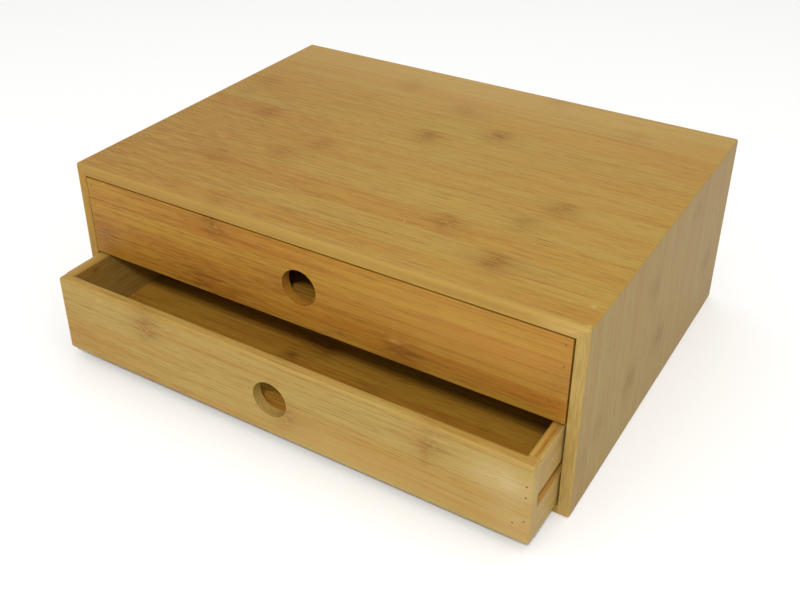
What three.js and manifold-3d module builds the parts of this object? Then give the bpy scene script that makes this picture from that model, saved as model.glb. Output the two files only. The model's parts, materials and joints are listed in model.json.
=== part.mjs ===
// A bamboo desk organizer: a flat case with two drawers, one above the other.
//
// Millimetres. +X is to the right as the drawers are faced, +Y is towards the back and +Z is up.
// The origin is the centre of the case's underside. The upper drawer is shut and the lower one is
// pulled part of the way out.

import * as THREE from 'three';
import { mergeVertices } from 'three/addons/utils/BufferGeometryUtils.js';
import Module from 'manifold-3d';

const wasm = await Module();
wasm.setup();

// ---- Driving dimensions. Faces that meet lie on multiples of an eighth, so they meet exactly. ----

const caseWidth = 350;
const caseDepth = 259;
const caseHeight = 126;
const casePanel = 7.25;          // thickness of the top and the sides
const bottomThickness = 6;
const backThickness = 5;
const arrisRadius = 1;           // the long outer edges over the two mitres
const arrisSteps = 3;

const drawerWidth = 334;
const drawerHeight = 54.5;
const drawerDepth = 240;
const drawerBoard = 7.25;        // thickness of a drawer's front, sides and back
const drawerOffset = -0.25;      // the drawers stand a little to the left in their side play
const floorThickness = 5;
const floorHeight = 9.5;         // underside of a drawer's floor, above the drawer's lower edge
const fingerHoleRadius = 12;
const fingerHoleSides = 64;
const lowerFingerHole = { across: 0, height: 26 };         // its centre, from the front's middle
const upperFingerHole = { across: -1.75, height: 26.75 };  // and above the drawer's lower edge
const lowerDrawerHeight = 6.75;  // lower edge of each drawer, above the case's underside
const upperDrawerHeight = 63;
const lowerDrawerPull = 35.5;

const grooveBottom = 21.5;       // in a drawer's side, above the drawer's lower edge
const grooveHeight = 9.25;
const grooveDepth = 4;
const runnerHeight = 8.5;
const runnerThickness = 3.75;
const runnerLength = 240;
const runnerSetback = 7.5;       // a shut drawer's front stops just before the runners' ends

const bradRadius = 0.5;
const bradPoint = 1.5;           // length of a brad's pointed end
const bradSink = 0.25;           // a brad's head lies this far under the surface
const bradPlay = 0.125;          // extra radius and depth of a brad's bore
const bradSides = 10;
const drawerBradLength = 20;
const runnerBradLength = 8;
const lowerFrontBradHeights = [16, 32.5, 40];    // in a front's ends, into the sides
const upperFrontBradHeights = [13, 36.5, 50];
const backBradHeights = [16, 40];                // through the sides, into the back
const floorBradInset = 10;                       // from a front's end, into the floor
const runnerBradPlaces = [0.1, 0.5, 0.9];        // as parts of the runner's length

const overcut = 1;               // how far a cutter runs past the face that it opens

// ---- Worked-out places ----

const halfWidth = caseWidth / 2;
const halfDepth = caseDepth / 2;
const innerHalfWidth = halfWidth - casePanel;
const innerHeight = caseHeight - casePanel;
const halfDrawer = drawerWidth / 2;
const innerHalfDrawer = halfDrawer - drawerBoard;
const runnerRise = grooveBottom + (grooveHeight - runnerHeight) / 2;

// ---- Materials ----

const topColour = 0xb29150;
const sideColour = 0xa89164;
const innerPanelColour = 0x9c7c45;
const upperFrontColour = 0xb0803e;
const lowerFrontColour = 0xbd9a5a;
const drawerSideColour = 0xab9560;
const floorColour = 0xa07a38;
const runnerColour = 0xa8814a;
const bradColour = 0x6b6252;

function bamboo(colour) {
  return new THREE.MeshStandardMaterial({ color: colour, roughness: 0.55, metalness: 0 });
}

function steel() {
  return new THREE.MeshStandardMaterial({ color: bradColour, roughness: 0.4, metalness: 1 });
}

// ---- Solids ----

function toManifold(geometry) {
  const bare = geometry.clone();
  bare.deleteAttribute('normal');
  bare.deleteAttribute('uv');
  const merged = mergeVertices(bare);
  const mesh = new wasm.Mesh({
    numProp: 3,
    vertProperties: merged.attributes.position.array,
    triVerts: new Uint32Array(merged.index.array),
  });
  return new wasm.Manifold(mesh);
}

function toGeometry(manifold) {
  const mesh = manifold.getMesh();
  const geometry = new THREE.BufferGeometry();
  geometry.setAttribute('position', new THREE.BufferAttribute(mesh.vertProperties, 3));
  geometry.setIndex(new THREE.BufferAttribute(mesh.triVerts, 1));
  geometry.computeVertexNormals();
  return geometry;
}

function carved(geometry, cutters) {
  let body = toManifold(geometry);
  for (const cutter of cutters) {
    body = body.subtract(toManifold(cutter));
  }
  return toGeometry(body);
}

// A box given by its lowest and highest corners.
function boxBetween(low, high) {
  const size = high.map((value, axis) => value - low[axis]);
  const centre = high.map((value, axis) => (value + low[axis]) / 2);
  return new THREE.BoxGeometry(...size).translate(...centre);
}

// The same box, on the right (side 1) or mirrored to the left (side -1).
function sidedBox(side, nearX, farX, lowY, highY, lowZ, highZ) {
  const [lowX, highX] = side > 0 ? [nearX, farX] : [-farX, -nearX];
  return boxBetween([lowX, lowY, lowZ], [highX, highY, highZ]);
}

function named(name, geometry, material) {
  const mesh = new THREE.Mesh(geometry, material);
  mesh.name = name;
  return mesh;
}

function sideName(side) {
  return side > 0 ? 'right' : 'left';
}

// ---- Brads: thin headless nails, each in a bore of its own ----

// `entry` is where the brad goes in through the surface, and `direction` is the way it points.
function brad(name, entry, direction, length) {
  return { name, entry: new THREE.Vector3(...entry), direction: new THREE.Vector3(...direction), length };
}

// Takes a geometry that runs along +Y from 0, and runs it from `start` along `direction`.
function runFrom(start, direction, geometry) {
  const turn = new THREE.Quaternion().setFromUnitVectors(new THREE.Vector3(0, 1, 0), direction);
  return geometry.applyQuaternion(turn).translate(...start);
}

function bradMesh({ name, entry, direction, length }) {
  const profile = [
    new THREE.Vector2(0, 0),
    new THREE.Vector2(bradRadius, 0),
    new THREE.Vector2(bradRadius, length - bradPoint),
    new THREE.Vector2(0, length),
  ];
  const head = entry.clone().addScaledVector(direction, bradSink);
  return named(name, runFrom(head, direction, new THREE.LatheGeometry(profile, bradSides)), steel());
}

function bradBore({ entry, direction, length }) {
  const radius = bradRadius + bradPlay;
  const depth = overcut + bradSink + length + bradPlay;
  const cylinder = new THREE.CylinderGeometry(radius, radius, depth, bradSides);
  const start = entry.clone().addScaledVector(direction, -overcut);
  return runFrom(start, direction, cylinder.translate(0, depth / 2, 0));
}

// ---- Case: a top and two sides mitred together, with a bottom and a back let in between ----

// The rounded long edge on the right, between two angles as seen from the front.
function arris(fromAngle, toAngle) {
  const centreX = halfWidth - arrisRadius;
  const centreZ = caseHeight - arrisRadius;
  const arc = new THREE.EllipseCurve(centreX, centreZ, arrisRadius, arrisRadius, fromAngle, toAngle);
  return arc.getPoints(arrisSteps);
}

function mirrored(outline) {
  return outline.map(({ x, y }) => new THREE.Vector2(-x, y)).reverse();
}

// An outline in X and Z, drawn out over the depth of the case.
function alongDepth(outline) {
  const options = { depth: caseDepth, bevelEnabled: false };
  const geometry = new THREE.ExtrudeGeometry(new THREE.Shape(outline), options);
  return geometry.rotateX(Math.PI / 2).translate(0, halfDepth, 0);
}

function topPanel() {
  const rightEnd = [new THREE.Vector2(innerHalfWidth, innerHeight), ...arris(Math.PI / 4, Math.PI / 2)];
  return named('top_panel', alongDepth([...rightEnd, ...mirrored(rightEnd)]), bamboo(topColour));
}

function sidePanel(side, bores) {
  const right = [
    new THREE.Vector2(innerHalfWidth, 0),
    new THREE.Vector2(halfWidth, 0),
    ...arris(0, Math.PI / 4),
    new THREE.Vector2(innerHalfWidth, innerHeight),
  ];
  const geometry = alongDepth(side > 0 ? right : mirrored(right));
  return named(`${sideName(side)}_side_panel`, carved(geometry, bores), bamboo(sideColour));
}

function bottomPanel() {
  const geometry = boxBetween(
    [-innerHalfWidth, -halfDepth, 0],
    [innerHalfWidth, halfDepth, bottomThickness],
  );
  return named('bottom_panel', geometry, bamboo(innerPanelColour));
}

function backPanel() {
  const geometry = boxBetween(
    [-innerHalfWidth, halfDepth - backThickness, bottomThickness],
    [innerHalfWidth, halfDepth, innerHeight],
  );
  return named('back_panel', geometry, bamboo(innerPanelColour));
}

// ---- Runners: strips on the case's sides, which the grooves in the drawers' sides ride on ----

function runnerBrads(level, side, drawerBase) {
  const entryX = side * (innerHalfWidth - runnerThickness);
  const entryZ = drawerBase + runnerRise + runnerHeight / 2;
  return runnerBradPlaces.map((place, index) => {
    const entryY = runnerSetback - halfDepth + place * runnerLength;
    const name = `${level}_${sideName(side)}_runner_brad_${index + 1}`;
    return brad(name, [entryX, entryY, entryZ], [side, 0, 0], runnerBradLength);
  });
}

function runner(level, side, drawerBase, bores) {
  const front = runnerSetback - halfDepth;
  const low = drawerBase + runnerRise;
  const geometry = sidedBox(side, innerHalfWidth - runnerThickness, innerHalfWidth,
    front, front + runnerLength, low, low + runnerHeight);
  return named(`${level}_${sideName(side)}_runner`, carved(geometry, bores), bamboo(runnerColour));
}

function organizerCase(levels) {
  const group = new THREE.Group();
  group.add(topPanel(), bottomPanel(), backPanel());
  for (const side of [-1, 1]) {
    const sideBores = [];
    for (const { level, base } of levels) {
      const brads = runnerBrads(level, side, base);
      const bores = brads.map(bradBore);
      group.add(runner(level, side, base, bores), ...brads.map(bradMesh));
      sideBores.push(...bores);
    }
    group.add(sidePanel(side, sideBores));
  }
  return group;
}

// ---- Drawers, each in its own frame: front face at Y 0, lower edge at Z 0, centred in X ----

function frontBrads(level, side, bradHeights) {
  const boardCentre = side * (halfDrawer - drawerBoard / 2);
  const corner = bradHeights.map((height, index) => {
    const name = `${level}_front_${sideName(side)}_brad_${index + 1}`;
    return brad(name, [boardCentre, 0, height], [0, 1, 0], drawerBradLength);
  });
  const floorPoint = [side * (halfDrawer - floorBradInset), 0, floorHeight + floorThickness / 2];
  const floorBrad = brad(`${level}_floor_${sideName(side)}_brad`, floorPoint, [0, 1, 0], drawerBradLength);
  return [...corner, floorBrad];
}

function backBrads(level, side) {
  return backBradHeights.map((height, index) => {
    const entry = [side * halfDrawer, drawerDepth - drawerBoard / 2, height];
    const name = `${level}_back_${sideName(side)}_brad_${index + 1}`;
    return brad(name, entry, [-side, 0, 0], drawerBradLength);
  });
}

function drawerFront(level, hole, bores, colour) {
  const board = boxBetween([-halfDrawer, 0, 0], [halfDrawer, drawerBoard, drawerHeight]);
  const depth = drawerBoard + 2 * overcut;
  const fingerHole = new THREE.CylinderGeometry(fingerHoleRadius, fingerHoleRadius, depth, fingerHoleSides);
  fingerHole.translate(hole.across, drawerBoard / 2, hole.height);
  return named(`${level}_drawer_front`, carved(board, [fingerHole, ...bores]), bamboo(colour));
}

function drawerSide(level, side, bores) {
  const board = sidedBox(side, innerHalfDrawer, halfDrawer, drawerBoard, drawerDepth, 0, drawerHeight);
  const groove = sidedBox(side, halfDrawer - grooveDepth, halfDrawer + overcut,
    drawerBoard - overcut, drawerDepth + overcut, grooveBottom, grooveBottom + grooveHeight);
  const name = `${level}_drawer_${sideName(side)}_side`;
  return named(name, carved(board, [groove, ...bores]), bamboo(drawerSideColour));
}

function drawerBack(level, bores) {
  const board = boxBetween(
    [-innerHalfDrawer, drawerDepth - drawerBoard, 0],
    [innerHalfDrawer, drawerDepth, drawerHeight],
  );
  return named(`${level}_drawer_back`, carved(board, bores), bamboo(drawerSideColour));
}

function drawerFloor(level, bores) {
  const board = boxBetween(
    [-innerHalfDrawer, drawerBoard, floorHeight],
    [innerHalfDrawer, drawerDepth - drawerBoard, floorHeight + floorThickness],
  );
  return named(`${level}_drawer_floor`, carved(board, bores), bamboo(floorColour));
}

function drawer({ level, base, pull, fingerHole, frontBradHeights, frontColour }) {
  const brads = [-1, 1].flatMap((side) => [
    ...frontBrads(level, side, frontBradHeights),
    ...backBrads(level, side),
  ]);
  const bores = brads.map(bradBore);
  const group = new THREE.Group();
  group.add(
    drawerFront(level, fingerHole, bores, frontColour),
    drawerSide(level, -1, bores),
    drawerSide(level, 1, bores),
    drawerBack(level, bores),
    drawerFloor(level, bores),
    ...brads.map(bradMesh),
  );
  group.position.set(drawerOffset, -halfDepth - pull, base);
  return group;
}

// ---- Assembly ----

const levels = [
  {
    level: 'lower',
    base: lowerDrawerHeight,
    pull: lowerDrawerPull,
    fingerHole: lowerFingerHole,
    frontBradHeights: lowerFrontBradHeights,
    frontColour: lowerFrontColour,
  },
  {
    level: 'upper',
    base: upperDrawerHeight,
    pull: 0,
    fingerHole: upperFingerHole,
    frontBradHeights: upperFrontBradHeights,
    frontColour: upperFrontColour,
  },
];

const organizer = new THREE.Group();
organizer.add(organizerCase(levels), ...levels.map(drawer));

export default organizer;
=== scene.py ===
"""The looks of a bamboo desk organizer with two drawers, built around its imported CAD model.

Every board is rebuilt from its CAD node with eased edges, and gets its own cut of laminated bamboo:
strips with fine fibres, streaks and the dark knuckles of the culm. Metres throughout, in the CAD's frame.
"""

import itertools
import json
import math
import random

import bmesh
import bpy
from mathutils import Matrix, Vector


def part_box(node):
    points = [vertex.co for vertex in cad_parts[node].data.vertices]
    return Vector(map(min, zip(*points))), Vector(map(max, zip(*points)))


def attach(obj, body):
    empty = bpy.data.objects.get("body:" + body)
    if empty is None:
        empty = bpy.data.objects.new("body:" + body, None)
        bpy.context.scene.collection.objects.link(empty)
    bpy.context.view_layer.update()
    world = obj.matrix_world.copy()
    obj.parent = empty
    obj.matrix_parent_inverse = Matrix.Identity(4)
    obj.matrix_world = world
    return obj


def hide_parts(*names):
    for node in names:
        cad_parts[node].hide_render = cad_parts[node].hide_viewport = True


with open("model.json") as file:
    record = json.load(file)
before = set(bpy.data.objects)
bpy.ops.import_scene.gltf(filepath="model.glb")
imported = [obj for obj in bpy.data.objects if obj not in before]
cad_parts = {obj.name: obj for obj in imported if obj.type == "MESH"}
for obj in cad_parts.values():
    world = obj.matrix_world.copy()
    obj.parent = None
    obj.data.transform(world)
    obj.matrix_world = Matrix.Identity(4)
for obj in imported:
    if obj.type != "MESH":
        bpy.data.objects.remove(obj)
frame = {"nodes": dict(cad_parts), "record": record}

MM = 0.001
X, Y, Z = 0, 1, 2
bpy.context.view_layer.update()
boxes = {node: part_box(node) for node in frame["nodes"]}
scene = bpy.context.scene

# ---- Shader building ----


class Shader:
    """A material and short calls that add nodes to it. Every call returns an output socket."""

    def __init__(self, name):
        self.material = bpy.data.materials.new(name)
        self.material.use_nodes = True
        self.tree = self.material.node_tree
        self.tree.nodes.clear()

    def node(self, kind, inputs, **settings):
        """Adds a node. `inputs` maps a socket's name or number to a value or to another output."""
        made = self.tree.nodes.new(kind)
        for name, value in settings.items():
            setattr(made, name, value)
        for socket, value in inputs.items():
            if isinstance(value, bpy.types.NodeSocket):
                self.tree.links.new(value, made.inputs[socket])
            else:
                made.inputs[socket].default_value = value
        return made

    def math(self, operation, *values, clamp=False):
        made = self.node("ShaderNodeMath", dict(enumerate(values)), operation=operation, use_clamp=clamp)
        return made.outputs[0]

    def minus(self, value, less):
        return self.math("SUBTRACT", value, less)

    def add(self, *values):
        total = values[0]
        for value in values[1:]:
            total = self.math("ADD", total, value)
        return total

    def times(self, *values):
        product = values[0]
        for value in values[1:]:
            product = self.math("MULTIPLY", product, value)
        return product

    def remap(self, value, low, high, to_low=0.0, to_high=1.0):
        """`value` carried smoothly from low..high to to_low..to_high, and held at the ends."""
        inputs = {"Value": value, "From Min": low, "From Max": high, "To Min": to_low, "To Max": to_high}
        return self.node("ShaderNodeMapRange", inputs, interpolation_type="SMOOTHSTEP").outputs[0]

    def bell(self, distance, width):
        """1 where distance is 0, falling to about a third at `width`."""
        share = self.math("DIVIDE", distance, width)
        return self.math("EXPONENT", self.times(share, share, -1.0))

    def blob(self, vector, middle, size):
        """1 at the middle, falling off like a bell with its own width each way."""
        away = self.node("ShaderNodeVectorMath", {0: vector, 1: middle}, operation="SUBTRACT").outputs[0]
        share = self.node("ShaderNodeVectorMath", {0: away, 1: size}, operation="DIVIDE").outputs[0]
        distance = self.node("ShaderNodeVectorMath", {0: share}, operation="LENGTH").outputs["Value"]
        return self.bell(distance, 1.0)

    def point(self, *parts):
        return self.node("ShaderNodeCombineXYZ", dict(enumerate(parts))).outputs[0]

    def split(self, colour):
        return self.node("ShaderNodeSeparateColor", {0: colour}).outputs[:3]

    def noise(self, vector, detail, roughness=0.5):
        inputs = {"Vector": vector, "Scale": 1.0, "Detail": detail, "Roughness": roughness}
        return self.node("ShaderNodeTexNoise", inputs).outputs[0]

    def mix(self, factor, first, second):
        """A colour `factor` of the way from first to second."""
        made = self.node("ShaderNodeMix", {0: factor, 6: first, 7: second}, data_type="RGBA")
        return made.outputs[2]

    def mix_value(self, factor, first, second):
        return self.node("ShaderNodeMix", {0: factor, 2: first, 3: second}, data_type="FLOAT").outputs[0]

    def surface(self, shader):
        self.node("ShaderNodeOutputMaterial", {"Surface": shader})


def srgb(red, green, blue):
    """A colour given as 0 to 255 screen values, as linear light with alpha."""
    def linear(value):
        share = value / 255
        return share / 12.92 if share <= 0.04045 else ((share + 0.055) / 1.055) ** 2.4
    return (linear(red), linear(green), linear(blue), 1.0)


# ---- Bamboo ----

STRIP = 24.2 * MM            # width of one strip of the laminated board
KNUCKLE_GAP = 175 * MM       # usual distance between two knuckles on a strip
KNUCKLE_CORE = 6.5 * MM      # reach of a knuckle's mottled core along the fibres
KNUCKLE_GLOW = 15.0 * MM     # reach of the soft glow around the core
KNUCKLE_WIDTH = 12.0 * MM    # reach of both across the strip
KNUCKLE_COMB = 16.0 * MM     # how far single fibres drag a knuckle along
KNUCKLE_SHIFT = 0.2          # how far it may lie off the strip's middle, as a share of the strip
KNUCKLE_TILT = 0.8           # how much it may slant across the strip
GLUE_GLOW = 1.6 * MM         # reach of the warmer wood beside a glue line
GLUE_LINE = 0.15 * MM        # reach of the glue line itself
SEED_STEP = 17.0             # keeps the strips of two seeds apart
SLIDE = 9.0                  # spread of the strips' own shifts along the grain, in features
LAYER = 3.0                  # spread of their shifts through the board, in metres

# How strongly each feature shows.
STRIP_WARMTH = 0.26
GLUE_WARMTH = 0.40
GLUE_DARKENING = 0.25
GLOW_STRENGTH = 0.20
CORE_STRENGTH = 0.52
DOT_STRENGTH = 0.8
PALE_FIBRES = 0.35

# Each pattern's features per metre along and across the fibres, its detail and its roughness.
GRAINS = {
    "cloud": (6.0, 36.0, 2.0, 0.5),
    "patch": (12.0, 30.0, 2.0, 0.5),
    "streak": (3.5, 300.0, 3.0, 0.55),
    "fibre": (11.0, 700.0, 3.0, 0.62),
    "dash": (70.0, 1000.0, 2.0, 0.6),
    "fleck": (320.0, 1200.0, 1.0, 0.5),
    "comb": (30.0, 300.0, 2.0, 0.7),
}
# How much each pattern warms the wood where it is weakest and where it is strongest.
WARMING = {
    "cloud": (-0.15, 0.45),
    "streak": (-0.12, 0.28),
    "fibre": (-0.16, 0.22),
}
# Where in each pattern the darkening starts and where it is full, and how dark that is.
DARKENING = {
    "streak": (0.52, 0.66, 0.05),
    "fibre": (0.50, 0.66, 0.24),
    "dash": (0.50, 0.64, 0.26),
}
# How far each feature lifts the surface.
GRAIN_RELIEF = {
    "fibre": -0.05 * MM,
    "dash": -0.03 * MM,
    "streak": 0.06 * MM,
}
GLUE_RELIEF = -0.03 * MM
KNUCKLE_RELIEF = 0.05 * MM
# The smoothest wood, and how much rougher each feature is at most.
ROUGHNESS = 0.42
FIBRE_ROUGHNESS = 0.14
KNUCKLE_ROUGHNESS = 0.10
EDGE_ROUGHNESS = 0.06


class Tone:
    """The colours of one cut of bamboo, and how strongly its dark fibres show."""

    def __init__(self, pale, warm, dark, knuckle, depth=1.0):
        self.pale = srgb(*pale)
        self.warm = srgb(*warm)
        self.dark = srgb(*dark)
        self.knuckle = srgb(*knuckle)
        self.depth = depth


TONES = {
    "case_top": Tone((159, 129, 54), (159, 112, 36), (108, 72, 20), (112, 62, 4)),
    "case_side": Tone((149, 127, 64), (150, 110, 54), (118, 92, 42), (112, 78, 32)),
    "case_inner": Tone((156, 126, 58), (139, 102, 39), (104, 73, 27), (96, 65, 27)),
    "upper_front": Tone((162, 123, 43), (152, 97, 24), (104, 61, 10), (94, 46, 4), 1.15),
    "lower_front": Tone((163, 137, 72), (158, 118, 47), (116, 79, 29), (114, 68, 10)),
    "drawer_board": Tone((166, 139, 71), (151, 115, 45), (115, 81, 31), (105, 70, 30)),
    "drawer_floor": Tone((170, 127, 43), (158, 98, 27), (110, 70, 18), (96, 56, 18)),
    "runner": Tone((168, 124, 57), (153, 100, 37), (116, 72, 24), (107, 64, 26)),
}


class Cut:
    """How one board was cut: which way its fibres run and which way its strips lie side by side.

    `knuckles` holds, for each strip from the low side, the two knuckles as
    (first, second, strength of first, strength of second), in metres from the board's low end.
    The stains and painted light are soft patches as (place, size, colour, strength): real stains, and in
    places painted shade, highlights and sheen, with the place measured from the board's low corner and both
    in millimetres along X, Y and Z.
    """

    def __init__(self, node, tone, along, across, first_strip=0.0, knuckles=None, stains_and_painted_light=(), seed=1):
        self.low, self.high = boxes[node]
        self.tone = TONES[tone]
        self.along = along
        self.across = across
        self.through = 3 - along - across
        self.strips_from = self.low[across] + first_strip
        self.seed = seed
        self.stains_and_painted_light = stains_and_painted_light
        self.knuckles = knuckles or self.grown_knuckles()

    def grown_knuckles(self):
        """Knuckles for a board where no particular ones are wanted."""
        draw = random.Random(self.seed)
        count = math.ceil((self.high[self.across] - self.strips_from) / STRIP)
        grown = []
        for _ in range(count):
            first = draw.uniform(0.0, KNUCKLE_GAP)
            second = first + draw.uniform(0.9, 1.1) * KNUCKLE_GAP
            grown.append((first, second, draw.uniform(0.1, 0.8), draw.uniform(0.1, 0.8)))
        return grown


class Bamboo(Shader):
    """Laminated bamboo for one cut: colour, roughness and relief worked out from the point in the board."""

    def __init__(self, name, cut):
        super().__init__(name)
        self.cut = cut
        self.place = self.node("ShaderNodeTexCoord", {}).outputs["Object"]
        parts = self.node("ShaderNodeSeparateXYZ", {0: self.place}).outputs
        self.along = self.minus(parts[cut.along], cut.low[cut.along])
        self.across = self.minus(parts[cut.across], cut.strips_from)
        self.lay_strips(parts[cut.through])
        self.grain = {pattern: self.drawn_out(*shape) for pattern, shape in GRAINS.items()}
        self.glue_strips()
        self.grow_knuckles()
        self.edge = self.node("ShaderNodeAttribute", {}, attribute_name="edge").outputs["Fac"]
        inputs = {
            "Base Color": self.rubbed(self.with_stains_and_painted_light(self.raw_colour())),
            "Roughness": self.roughness(),
            "Specular IOR Level": 0.2,
            "Normal": self.relief(),
        }
        self.surface(self.node("ShaderNodeBsdfPrincipled", inputs).outputs[0])

    def lay_strips(self, through):
        """Numbers the strips. Each has its own draw of numbers that shifts its grain and its tone."""
        strip_place = self.math("DIVIDE", self.across, STRIP)
        self.strip = self.math("FLOOR", strip_place)
        self.from_low_edge = self.minus(strip_place, self.strip)
        number = self.add(self.strip, self.cut.seed * SEED_STEP)
        noise = self.node("ShaderNodeTexWhiteNoise", {"W": number}, noise_dimensions="1D")
        self.tone_draw, depth_draw, self.tilt_draw = self.split(noise.outputs["Color"])
        self.slide = self.times(self.tone_draw, SLIDE)
        self.layer = self.add(self.times(depth_draw, LAYER), through)

    def drawn_out(self, along_scale, across_scale, detail, roughness):
        """Noise drawn out along the fibres, in features per metre each way."""
        moved = self.add(self.times(self.along, along_scale), self.slide)
        vector = self.point(
            moved, self.times(self.across, across_scale), self.times(self.layer, across_scale))
        return self.noise(vector, detail, roughness)

    def grain_between(self, pattern, low, high, to_low=0.0, to_high=1.0):
        return self.remap(self.grain[pattern], low, high, to_low, to_high)

    def glue_strips(self):
        """Where two strips are glued together, a thin dark line and a warmer glow, both only in places."""
        from_middle = self.math("ABSOLUTE", self.minus(self.from_low_edge, 0.5))
        edge_distance = self.times(self.minus(0.5, from_middle), STRIP)
        glow_patch = self.grain_between("patch", 0.50, 0.68)
        line_patch = self.grain_between("cloud", 0.35, 0.65)
        self.glue_glow = self.times(self.bell(edge_distance, GLUE_GLOW), glow_patch)
        self.glue_line = self.times(self.bell(edge_distance, GLUE_LINE), line_patch)

    def nearest_knuckle(self):
        """Distance along the fibres to the nearer knuckle of the strip, and that knuckle's strength.

        A colour ramp with one flat stop per strip serves as the table to look the knuckles up in.
        """
        knuckles = self.cut.knuckles
        count = len(knuckles)
        ramp = self.node("ShaderNodeValToRGB", {0: self.times(self.add(self.strip, 0.5), 1 / count)})
        stops = ramp.color_ramp
        stops.interpolation = "CONSTANT"
        for index, (first, second, first_strength, second_strength) in enumerate(knuckles):
            stop = stops.elements[0] if index == 0 else stops.elements.new(index / count)
            stop.position = index / count
            stop.color = (first, first_strength, second_strength, second - first)
        while len(stops.elements) > count:
            stops.elements.remove(stops.elements[-1])
        first_place, first_strength, second_strength = self.split(ramp.outputs["Color"])
        to_first = self.minus(self.along, first_place)
        to_second = self.minus(to_first, ramp.outputs["Alpha"])
        second_nearer = self.math(
            "LESS_THAN", self.math("ABSOLUTE", to_second), self.math("ABSOLUTE", to_first))
        distance = self.mix_value(second_nearer, to_first, to_second)
        strength = self.mix_value(second_nearer, first_strength, second_strength)
        return distance, strength

    def grow_knuckles(self):
        """A mottled brown core with pale dots in a soft glow, both combed out along the fibres."""
        shift = self.times(self.tilt_draw, KNUCKLE_SHIFT)
        off_middle = self.minus(self.minus(self.from_low_edge, 0.5), shift)
        from_middle = self.times(off_middle, STRIP)
        comb = self.times(self.minus(self.grain["comb"], 0.5), KNUCKLE_COMB)
        tilt = self.times(from_middle, self.minus(self.tilt_draw, 0.5), KNUCKLE_TILT)
        distance, strength = self.nearest_knuckle()
        distance = self.add(distance, comb, tilt)
        across_strip = self.bell(from_middle, KNUCKLE_WIDTH)
        glow = self.times(self.bell(distance, KNUCKLE_GLOW), across_strip, strength)
        core = self.times(self.bell(distance, KNUCKLE_CORE), across_strip, strength)
        mottle = self.grain_between("dash", 0.38, 0.62, 0.35, 1.0)
        soft = self.times(glow, GLOW_STRENGTH)
        self.knuckle = self.math("ADD", soft, self.times(core, mottle, CORE_STRENGTH), clamp=True)
        self.pale_dots = self.times(core, self.grain_between("fleck", 0.56, 0.64))

    def raw_colour(self):
        """The wood's colour: pale to warm, darkened by its fibres, with the knuckles on top."""
        tone = self.cut.tone
        warmth = self.add(
            self.times(self.tone_draw, STRIP_WARMTH),
            *(self.grain_between(pattern, 0.30, 0.70, *reach) for pattern, reach in WARMING.items()),
            self.times(self.glue_glow, GLUE_WARMTH),
        )
        colour = self.mix(self.math("MULTIPLY", warmth, 1.0, clamp=True), tone.pale, tone.warm)
        darkening = self.add(
            *(self.grain_between(pattern, start, full, 0.0, most * tone.depth)
              for pattern, (start, full, most) in DARKENING.items()),
            self.times(self.glue_line, GLUE_DARKENING),
        )
        colour = self.mix(darkening, colour, tone.dark)
        colour = self.mix(self.grain_between("dash", 0.34, 0.46, PALE_FIBRES, 0.0), colour, tone.pale)
        colour = self.mix(self.knuckle, colour, tone.knuckle)
        return self.mix(self.times(self.pale_dots, DOT_STRENGTH), colour, tone.pale)

    def with_stains_and_painted_light(self, colour):
        """The colour with the board's own stains and its painted shade, highlights and sheen, broken up by
        the fibres.
        """
        for middle, size, patch_colour, patch_strength in self.cut.stains_and_painted_light:
            patch = self.blob(self.place, self.cut.low + Vector(middle) * MM, Vector(size) * MM)
            reach = self.times(patch, self.grain_between("dash", 0.40, 0.58, 0.30, 1.0), patch_strength)
            colour = self.mix(reach, colour, srgb(*patch_colour))
        return colour

    def rubbed(self, colour):
        """The colour with the sanded edges a little paler, unevenly."""
        share = self.times(self.edge, self.grain_between("cloud", 0.35, 0.65, 0.05, 0.30))
        return self.mix(share, colour, self.cut.tone.pale)

    def roughness(self):
        return self.add(
            ROUGHNESS,
            self.times(self.grain["fibre"], FIBRE_ROUGHNESS),
            self.times(self.knuckle, KNUCKLE_ROUGHNESS),
            self.times(self.edge, EDGE_ROUGHNESS),
        )

    def relief(self):
        height = self.add(
            *(self.times(self.grain[pattern], lift) for pattern, lift in GRAIN_RELIEF.items()),
            self.times(self.glue_line, GLUE_RELIEF),
            self.times(self.knuckle, KNUCKLE_RELIEF),
        )
        return self.node("ShaderNodeBump", {"Strength": 0.7, "Distance": 1.0, "Height": height}).outputs[0]


# ---- Brads' metal ----

BRAD_PATCHES = 900.0         # dull patches per metre
BRAD_RELIEF = 0.1 * MM


def brad_metal(name, bright, dull):
    """Dull drawn steel, browned by the wood and by the filler smeared over its head."""
    shader = Shader(name)
    place = shader.node("ShaderNodeTexCoord", {}).outputs["Object"]
    scale = (BRAD_PATCHES, BRAD_PATCHES, BRAD_PATCHES)
    scaled = shader.node("ShaderNodeVectorMath", {0: place, 1: scale}, operation="MULTIPLY").outputs[0]
    patch = shader.noise(scaled, detail=3.0)
    colour = shader.mix(shader.remap(patch, 0.4, 0.65), srgb(*bright), srgb(*dull))
    relief = shader.node("ShaderNodeBump", {"Strength": 0.5, "Distance": BRAD_RELIEF, "Height": patch})
    inputs = {
        "Base Color": colour,
        "Metallic": shader.remap(patch, 0.4, 0.6, 0.7, 0.2),
        "Roughness": shader.remap(patch, 0.3, 0.7, 0.4, 0.7),
        "Normal": relief.outputs[0],
    }
    shader.surface(shader.node("ShaderNodeBsdfPrincipled", inputs).outputs[0])
    return shader.material


# ---- Boards with eased edges ----

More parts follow.
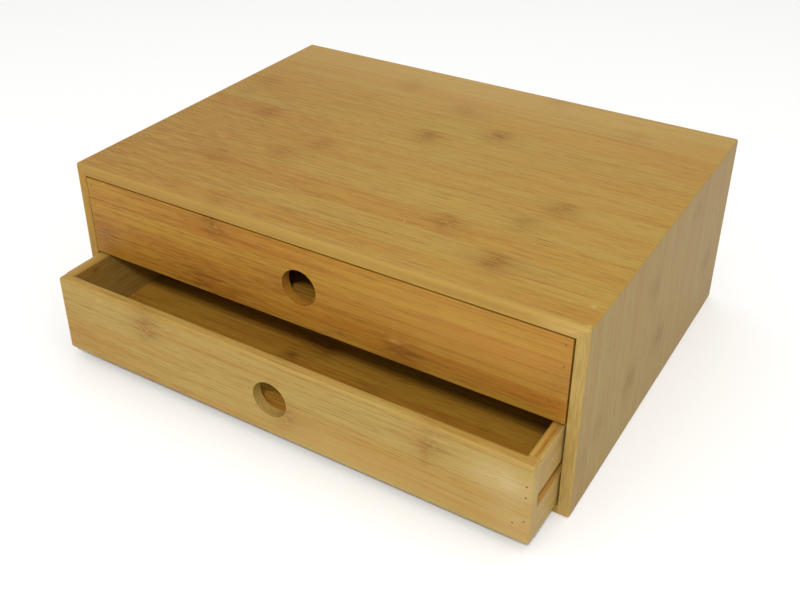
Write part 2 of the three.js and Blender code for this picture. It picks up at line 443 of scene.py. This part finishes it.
TOUCH = 0.02 * MM            # boards closer than this are in contact
ON_CUT = 0.1 * TOUCH         # points closer than this to a cut lie on it
WELD = 0.001 * MM            # points closer than this are one point
SLIVER = 0.01 * MM           # edges shorter than this are left over from cutting and rounding
BRAD_CLEAR = 0.5 * MM        # an edge this near to a brad is the rim of its bore
FLAT_ANGLE = math.radians(1)          # faces that turn less than this are one flat face
STRAIGHT_ANGLE = math.radians(10)     # edges that turn less than this are one straight edge
SHARP_ANGLE = math.radians(40)        # faces that turn more than this meet in a sharp edge
FLAT_AREA = 2 * MM * MM      # faces larger than this are flat sides, not part of a rounding
CASE_EASE = 1.6 * MM         # rounding of the assembled case's outer edges
CASE_BANDS = 3               # flat bands in half of that rounding
OPENING_EASE = 0.5 * MM      # rounding of the case's opening
OUTER_EASE = 0.8 * MM        # rounding of a board's own long edges
INNER_EASE = 0.25 * MM       # rounding of edges cut into a board, such as a groove's
EASE_BANDS = 3               # flat bands in those roundings
MITRED = {"top_panel", "left_side_panel", "right_side_panel"}
CASE_SHELL = MITRED | {"bottom_panel"}
case_low = Vector([min(boxes[node][0][axis] for node in CASE_SHELL) for axis in (X, Y, Z)])
case_high = Vector([max(boxes[node][1][axis] for node in CASE_SHELL) for axis in (X, Y, Z)])


def body_of(node):
    groups = frame["record"]["behaviour"]["bodies"]
    return next(body for body, members in groups.items() if node in members)


def middle_of(edge):
    return (edge.verts[0].co + edge.verts[1].co) / 2


def inside(point, low, high, margin):
    return all(low[axis] - margin <= point[axis] <= high[axis] + margin for axis in (X, Y, Z))


def touching(first, second):
    (first_low, first_high), (second_low, second_high) = boxes[first], boxes[second]
    return all(first_low[axis] <= second_high[axis] + TOUCH and second_low[axis] <= first_high[axis] + TOUCH
               for axis in (X, Y, Z))


def seam_planes(node, neighbour):
    """Where the neighbour's outline crosses this board's edges, as (axis, place) planes."""
    (low, high), (near_low, near_high) = boxes[node], boxes[neighbour]
    shared = [(max(low[a], near_low[a]), min(high[a], near_high[a])) for a in (X, Y, Z)]
    spans = [a for a in (X, Y, Z) if shared[a][1] - shared[a][0] > TOUCH]
    at_edge = any(abs(shared[a][0] - low[a]) < TOUCH or abs(shared[a][1] - high[a]) < TOUCH for a in spans)
    if not at_edge:
        return []
    return [(a, place) for a in (X, Y, Z) for place in (near_low[a], near_high[a])
            if low[a] + TOUCH < place < high[a] - TOUCH]


def cut_along(bm, axis, place):
    """Cuts the mesh across at one place, and gives the new edges."""
    normal = Vector((0.0, 0.0, 0.0))
    normal[axis] = 1.0
    geometry = bm.verts[:] + bm.edges[:] + bm.faces[:]
    cut = bmesh.ops.bisect_plane(bm, geom=geometry, dist=ON_CUT, plane_co=normal * place, plane_no=normal)
    return [edge for edge in cut["geom_cut"] if isinstance(edge, bmesh.types.BMEdge)]


def merge_flat(bm):
    """Joins the triangles of each flat face, up to the seams, and drops the points this leaves on edges."""
    bmesh.ops.dissolve_limit(bm, angle_limit=FLAT_ANGLE, verts=bm.verts, edges=bm.edges, delimit={"SEAM"})
    spare = [vert for vert in bm.verts
             if len(vert.link_edges) == 2 and vert.calc_edge_angle(0.0) < STRAIGHT_ANGLE]
    bmesh.ops.dissolve_verts(bm, verts=spare)


def round_case(bm, mark):
    """Draws a panel's outer corners in to the rounded box of the whole case, so the mitres stay shut."""
    for axis in (X, Y, Z):
        for band in range(CASE_BANDS):
            depth = CASE_EASE * (1 - math.tan(math.pi / 4 * band / CASE_BANDS))
            cut_along(bm, axis, case_low[axis] + depth)
            cut_along(bm, axis, case_high[axis] - depth)
    for vert in bm.verts:
        nearest = [min(max(vert.co[a], case_low[a] + CASE_EASE), case_high[a] - CASE_EASE) for a in (X, Y, Z)]
        out = vert.co - Vector(nearest)
        if out.length > CASE_EASE + ON_CUT:
            vert.co = Vector(nearest) + out.normalized() * CASE_EASE
            vert[mark] = 1.0
    bmesh.ops.remove_doubles(bm, verts=bm.verts, dist=SLIVER)


def in_mitre(edge):
    """True for an edge lying in the slanting joint between the top and a side."""
    return all(abs((case_high.x - abs(vert.co.x)) - (case_high.z - vert.co.z)) < TOUCH for vert in edge.verts)


def is_outer(edge, node):
    """True for an edge of a mitred panel, or one that lies on the twelve edges of its board's box."""
    low, high = boxes[node]
    middle = middle_of(edge)
    faces = sum(abs(middle[a] - low[a]) < TOUCH or abs(middle[a] - high[a]) < TOUCH for a in (X, Y, Z))
    return node in MITRED or faces >= 2


def ease(bm, edges, width, mark):
    """Rounds the edges, and marks the new points that lie within the roundings."""
    made = bmesh.ops.bevel(bm, geom=edges, offset=width, offset_type="OFFSET", segments=EASE_BANDS,
                           profile=0.5, affect="EDGES", clamp_overlap=False)
    rounded = set(made["faces"])
    for face in rounded:
        for vert in face.verts:
            if rounded.issuperset(vert.link_faces):
                vert[mark] = 1.0


def open_edges(bm, node, boards, brads):
    """The sharp edges that lie in no joint with another board and around no brad's bore."""
    def is_open(edge):
        if edge.calc_face_angle(0.0) < SHARP_ANGLE or (node in MITRED and in_mitre(edge)):
            return False
        middle = middle_of(edge)
        if any(inside(middle, *boxes[other], TOUCH) for other in boards):
            return False
        return not any(inside(middle, *boxes[other], BRAD_CLEAR) for other in brads)
    return [edge for edge in bm.edges if is_open(edge)]


def is_crease_tip(vert):
    """True where a rounding runs out in a sharp edge, so two flat sides meet at one point."""
    flats = [face.normal for face in vert.link_faces if face.calc_area() > FLAT_AREA]
    return any(first.angle(second) > SHARP_ANGLE for first, second in itertools.combinations(flats, 2))


def shade_softly(bm):
    """Smooth shading over the roundings, with the sharp edges and the tips of the creases kept sharp."""
    for face in bm.faces:
        face.smooth = True
    for edge in bm.edges:
        edge.smooth = edge.calc_face_angle(0.0) < SHARP_ANGLE
    for vert in bm.verts:
        if is_crease_tip(vert):
            for edge in vert.link_edges:
                edge.smooth = False


def eased_mesh(node, width):
    """The CAD board's mesh with its open edges rounded and its joints left tight."""
    members = frame["record"]["behaviour"]["bodies"][body_of(node)]
    near = [other for other in members if other != node and touching(node, other)]
    boards = [other for other in near if "brad" not in other and not {node, other} <= MITRED]
    brads = [other for other in near if "brad" in other]

    bm = bmesh.new()
    bm.from_mesh(frame["nodes"][node].data)
    mark = bm.verts.layers.float.new("edge")
    bmesh.ops.remove_doubles(bm, verts=bm.verts, dist=WELD)
    merge_flat(bm)
    if node in CASE_SHELL:
        round_case(bm, mark)
    for axis, place in sorted({plane for other in boards for plane in seam_planes(node, other)}):
        for edge in cut_along(bm, axis, place):
            edge.seam = True
    merge_flat(bm)

    opened = open_edges(bm, node, boards, brads)
    outer = [edge for edge in opened if is_outer(edge, node)]
    inner = [edge for edge in opened if not is_outer(edge, node)]
    if inner:
        ease(bm, inner, INNER_EASE, mark)
    ease(bm, [edge for edge in outer if edge.is_valid], width, mark)
    bmesh.ops.remove_doubles(bm, verts=bm.verts, dist=SLIVER)
    bmesh.ops.dissolve_degenerate(bm, dist=SLIVER, edges=bm.edges)
    shade_softly(bm)

    mesh = bpy.data.meshes.new(node + "_eased")
    bm.to_mesh(mesh)
    bm.free()
    return mesh


def make_board(node, cut, width=OUTER_EASE):
    """A new bamboo piece in the place of a CAD board."""
    mesh = eased_mesh(node, width)
    mesh.materials.append(Bamboo("bamboo_" + node, cut).material)
    board = bpy.data.objects.new(node + "_eased", mesh)
    scene.collection.objects.link(board)
    normals = board.modifiers.new("normals", "WEIGHTED_NORMAL")
    normals.keep_sharp = True
    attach(board, body_of(node))
    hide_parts(node)


# ---- The case ----

# The strips run over the mitres, so the top and both sides share their places from front to back.
CASE_FIRST_STRIP = -6.1 * MM
RUNNER_FIRST_STRIP = -8 * MM
RUNNER_SEED = 20

TOP_KNUCKLES = [
    (0.108, 0.290, 0.5, 0.1),
    (0.107, 0.282, 0.2, 1.0),
    (0.068, 0.238, 0.8, 1.0),
    (0.104, 0.276, 0.7, 0.5),
    (0.116, 0.288, 0.7, 0.9),
    (0.055, 0.232, 0.9, 0.1),
    (0.170, 0.345, 1.0, 0.1),
    (0.019, 0.211, 0.7, 1.0),
    (0.171, 0.345, 0.7, 0.1),
    (0.116, 0.291, 0.7, 0.5),
    (0.048, 0.222, 0.1, 0.6),
]
# Painted shade browns the left end and a painted reflection pales the back. The front edge is duller, partly
# its own colour and partly painted shade over the highlight on its rounding. A few small pale chips.
TOP_STAINS_AND_PAINTED_LIGHT = [
    # painted shade: the browner left end
    ((0, 60, 7), (130, 130, 50), (132, 86, 24), 0.60),
    # painted reflection: the paler, greyer back
    ((170, 256, 7), (260, 45, 50), (184, 156, 100), 0.45),
    ((283, 31, 7), (15, 9, 5), (130, 84, 26), 0.45),
    # partly the front edge's own colour, partly painted shade over the highlight on its rounding
    ((175, 0, 5), (900, 3.0, 6), (162, 132, 70), 0.50),
    ((342, 0, 4), (22, 2.4, 8), (186, 160, 98), 0.60),
    ((217, 45, 7.2), (0.4, 0.9, 2), (214, 190, 130), 0.6),
    ((343, 20.5, 7.2), (1.2, 1.6, 2), (200, 180, 130), 0.4),
    ((347.5, 3.5, 7.2), (1.5, 1.5, 2), (200, 180, 130), 0.3),
]
# The side's front edge and its rounding are paler, in the colour of the top: partly the edge's own colour,
# partly a painted highlight along the rounding.
RIGHT_EDGE_COLOUR_AND_HIGHLIGHT = [
    # partly the edge's own colour, partly a painted highlight along the rounding
    ((3.6, 0, 60), (50, 1.3, 900), (168, 139, 77), 1.0),
]
RIGHT_KNUCKLES = [
    (0.034, 0.200, 0.4, 0.0),
    (0.044, 0.200, 0.5, 0.0),
    (0.150, 0.320, 0.0, 0.0),
    (0.042, 0.210, 1.0, 0.0),
    (0.092, 0.270, 0.6, 0.0),
    (0.043, 0.220, 1.0, 0.0),
    (0.140, 0.310, 0.2, 0.0),
    (0.108, 0.280, 0.4, 0.0),
    (0.150, 0.320, 0.0, 0.0),
    (0.048, 0.220, 0.7, 0.0),
    (0.012, 0.190, 0.4, 0.0),
]


def make_case():
    top_cut = Cut("top_panel", "case_top", X, Y, CASE_FIRST_STRIP, TOP_KNUCKLES, TOP_STAINS_AND_PAINTED_LIGHT)
    right_cut = Cut("right_side_panel", "case_side", Z, Y, CASE_FIRST_STRIP, RIGHT_KNUCKLES, RIGHT_EDGE_COLOUR_AND_HIGHLIGHT)
    left_cut = Cut("left_side_panel", "case_top", Z, Y, CASE_FIRST_STRIP)
    make_board("top_panel", top_cut, OPENING_EASE)
    make_board("right_side_panel", right_cut, OPENING_EASE)
    make_board("left_side_panel", left_cut, OPENING_EASE)
    make_board("bottom_panel", Cut("bottom_panel", "case_inner", X, Y, seed=4), OPENING_EASE)
    make_board("back_panel", Cut("back_panel", "case_inner", X, Z, seed=5), OPENING_EASE)
    runners = sorted(node for node in frame["nodes"] if node.endswith("_runner"))
    for number, node in enumerate(runners):
        make_board(node, Cut(node, "runner", Y, Z, RUNNER_FIRST_STRIP, seed=RUNNER_SEED + number))


# ---- The drawers ----

SIDE_FIRST_STRIP = -9 * MM
DRAWER_SEEDS = {"upper": 40, "lower": 60}

# The fronts' strips are counted from the lower edge.
UPPER_KNUCKLES = [
    (0.092, 0.234, 0.6, 0.5),
    (0.152, 0.330, 0.5, 0.6),
    (0.104, 0.290, 0.9, 0.2),
]
LOWER_KNUCKLES = [
    (0.090, 0.265, 0.1, 0.2),
    (0.010, 0.180, 0.1, 0.9),
    (0.073, 0.274, 1.0, 0.9),
]
# Dark smudges by the knuckles and along the lower edge, paler patches towards the right end that are painted
# sheen, small pale chips, and painted warm light inside the upper finger hole, whose bore lies in shade.
UPPER_STAINS_AND_PAINTED_LIGHT = [
    ((12, 0, 14), (10, 20, 8), (114, 72, 32), 0.65),
    ((98, 0, 10), (40, 20, 11), (118, 62, 12), 0.80),
    ((239, 0, 10), (13, 20, 6), (98, 52, 12), 0.80),
    ((280, 0, 6), (70, 20, 8), (108, 62, 18), 0.30),
    ((231, 0, 14), (5, 20, 1.2), (206, 158, 84), 0.55),
    # painted sheen: the paler right end
    ((300, 0, 36), (80, 20, 22), (178, 132, 68), 0.45),
    ((14.6, 0, 53.7), (1.4, 20, 0.6), (220, 180, 110), 0.4),
    # painted light: the shaded bore of the finger hole painted warm as if lit
    ((165.25, 3.6, 26.75), (13, 2.4, 13), (176, 114, 40), 0.7),
]
LOWER_STAINS_AND_SHEEN = [
    # painted sheen towards the right end, in this and the next two patches
    ((317, 0, 38), (18, 20, 10), (192, 170, 128), 0.60),
    ((325, 0, 14), (16, 20, 18), (184, 160, 116), 0.45),
    ((230, 0, 8), (90, 20, 12), (184, 152, 94), 0.40),
    ((271, 0, 33), (3.5, 20, 7), (140, 92, 36), 0.60),
    ((264, 0, 46), (5, 20, 5), (156, 110, 54), 0.50),
    ((278, 0, 47), (7, 20, 1.6), (204, 172, 112), 0.35),
    ((60, 0, 3), (80, 20, 3), (150, 92, 34), 0.35),
    ((34.3, 0, 49), (2.5, 20, 0.5), (222, 190, 130), 0.5),
]
# Each front's first strip, the rounding of its edges, its knuckles, and its stains and painted light.
FRONTS = {
    "upper": (-8.7 * MM, 0.5 * MM, UPPER_KNUCKLES, UPPER_STAINS_AND_PAINTED_LIGHT),
    "lower": (-19.0 * MM, 1.8 * MM, LOWER_KNUCKLES, LOWER_STAINS_AND_SHEEN),
}


# The lower drawer's left side is browner in its groove, and the right side's groove floor, shaded by its lip,
# is painted bright orange as painted light.
# The left one is browner near the front too, with a dark knot by its top edge. The right one is paler near
# the front, with orange streaks on its top edge.
SIDE_STAINS_AND_PAINTED_LIGHT = {
    "left": [
        ((3, 100, 24), (1.6, 400, 4), (150, 88, 26), 0.9),
        ((7, 12, 50), (3, 22, 8), (150, 108, 50), 0.7),
        ((7, 17, 49), (3, 3, 1.5), (104, 56, 16), 0.8),
        ((7.2, 60, 26), (1.2, 120, 30), (154, 104, 30), 0.5),
    ],
    "right": [
        # painted light: the right groove's shaded floor painted bright orange
        ((4.2, 100, 24), (1.6, 400, 4), (204, 134, 56), 1.0),
        ((7.2, 20, 30), (1.2, 60, 40), (176, 150, 106), 0.4),
        ((3.2, 40, 54.5), (2.6, 60, 2.5), (176, 124, 46), 0.7),
        ((4.0, 18, 54.5), (0.8, 24, 1.5), (130, 82, 26), 0.9),
    ],
}


# The floors are darker along the front, painted shade where the front board shadows them, with two knuckles
# and an olive patch behind.
FLOOR_STAINS_AND_SHADE = [
    # painted shadow of the front board along the front of the floor
    ((160, 4, 4), (400, 20, 8), (104, 70, 22), 0.55),
    ((135, 45, 5), (6, 9, 8), (90, 52, 14), 0.7),
    ((151, 64, 5), (9, 10, 8), (94, 56, 16), 0.7),
    ((215, 68, 5), (40, 12, 8), (124, 100, 28), 0.4),
]


def make_drawer(level, seed):
    first_strip, ease_width, knuckles, stains_and_painted_light = FRONTS[level]
    front = f"{level}_drawer_front"
    look = f"{level}_front"
    make_board(front, Cut(front, look, X, Z, first_strip, knuckles, stains_and_painted_light, seed), ease_width)
    for number, side in enumerate(("left", "right"), start=1):
        node = f"{level}_drawer_{side}_side"
        stains_and_painted_light = SIDE_STAINS_AND_PAINTED_LIGHT[side] if level == "lower" else ()
        cut = Cut(node, "drawer_board", Y, Z, SIDE_FIRST_STRIP, stains_and_painted_light=stains_and_painted_light, seed=seed + number)
        make_board(node, cut)
    back = f"{level}_drawer_back"
    make_board(back, Cut(back, "drawer_board", X, Z, seed=seed + 3))
    floor = f"{level}_drawer_floor"
    make_board(floor, Cut(floor, "drawer_floor", X, Y, stains_and_painted_light=FLOOR_STAINS_AND_SHADE, seed=seed + 4))


# ---- Brads: the CAD nodes themselves, with softened heads ----

BRAD_EASE = 0.15 * MM           # rounding of the head's rim
BRAD_ANGLE = math.radians(50)   # only the rim of the head is sharper than this


def finish_brads():
    """The lower brads on the right are left bare, and the others have filler over their heads."""
    bare = brad_metal("bare_brad", (112, 88, 54), (92, 66, 34))
    filled = brad_metal("filled_brad", (150, 112, 52), (134, 94, 40))
    for name, brad in frame["nodes"].items():
        if "brad" not in name:
            continue
        brad.data.materials.clear()
        brad.data.materials.append(bare if name.startswith("lower") and "right" in name else filled)
        soften = brad.modifiers.new("soften", "BEVEL")
        soften.width = BRAD_EASE
        soften.segments = 2
        soften.limit_method = "ANGLE"
        soften.angle_limit = BRAD_ANGLE


# ---- Studio ----

FLOOR_REACH = 6.0                            # from the middle to the floor's edge
FLOOR_COLOUR = (0.86, 0.86, 0.85, 1.0)
LIT_POINT = (0.0, 0.0, 0.06)                 # where the lights are aimed
LIGHTS = {                                   # place, size and power in watts
    "key": ((0.60, -1.40, 1.60), 0.25, 25.0),
    "fill": ((0.4, 0.2, 2.2), 1.6, 4.0),
}
SKY_STRENGTH = 0.85
CAMERA_PLACE = (0.3057, -0.5268, 0.4168)
CAMERA_TURN = (59.49, -0.18, 31.39)          # degrees about X, Y and Z
CAMERA_LENS = 46.33                          # millimetres, on a sensor 36 mm wide
CAMERA_SHIFT = (0.0045, -0.075)


def make_floor():
    mesh = bpy.data.meshes.new("floor")
    signs = ((-1, -1), (1, -1), (1, 1), (-1, 1))
    corners = [(FLOOR_REACH * x, FLOOR_REACH * y, 0) for x, y in signs]
    mesh.from_pydata(corners, [], [(0, 1, 2, 3)])
    shader = Shader("floor")
    inputs = {"Base Color": FLOOR_COLOUR, "Roughness": 0.9}
    shader.surface(shader.node("ShaderNodeBsdfPrincipled", inputs).outputs[0])
    mesh.materials.append(shader.material)
    floor = bpy.data.objects.new("floor", mesh)
    scene.collection.objects.link(floor)


def make_light(name, place, size, power):
    light = bpy.data.lights.new(name, "AREA")
    light.shape = "DISK"
    light.size = size
    light.energy = power
    lamp = bpy.data.objects.new(name, light)
    scene.collection.objects.link(lamp)
    lamp.location = place
    lamp.rotation_euler = (Vector(LIT_POINT) - Vector(place)).to_track_quat("-Z", "Y").to_euler()


def make_studio():
    make_floor()
    for name, (place, size, power) in LIGHTS.items():
        make_light(name, place, size, power)
    world = bpy.data.worlds.new("studio")
    world.use_nodes = True
    background = world.node_tree.nodes["Background"]
    background.inputs["Color"].default_value = (1.0, 1.0, 1.0, 1.0)
    background.inputs["Strength"].default_value = SKY_STRENGTH
    scene.world = world
    scene.view_settings.view_transform = "Standard"


def make_camera():
    data = bpy.data.cameras.new("camera")
    data.sensor_width = 36.0
    data.lens = CAMERA_LENS
    data.shift_x, data.shift_y = CAMERA_SHIFT
    camera = bpy.data.objects.new("camera", data)
    scene.collection.objects.link(camera)
    camera.location = CAMERA_PLACE
    camera.rotation_euler = [math.radians(angle) for angle in CAMERA_TURN]
    scene.camera = camera


make_camera()
make_case()
for level, seed in DRAWER_SEEDS.items():
    make_drawer(level, seed)
finish_brads()
make_studio()
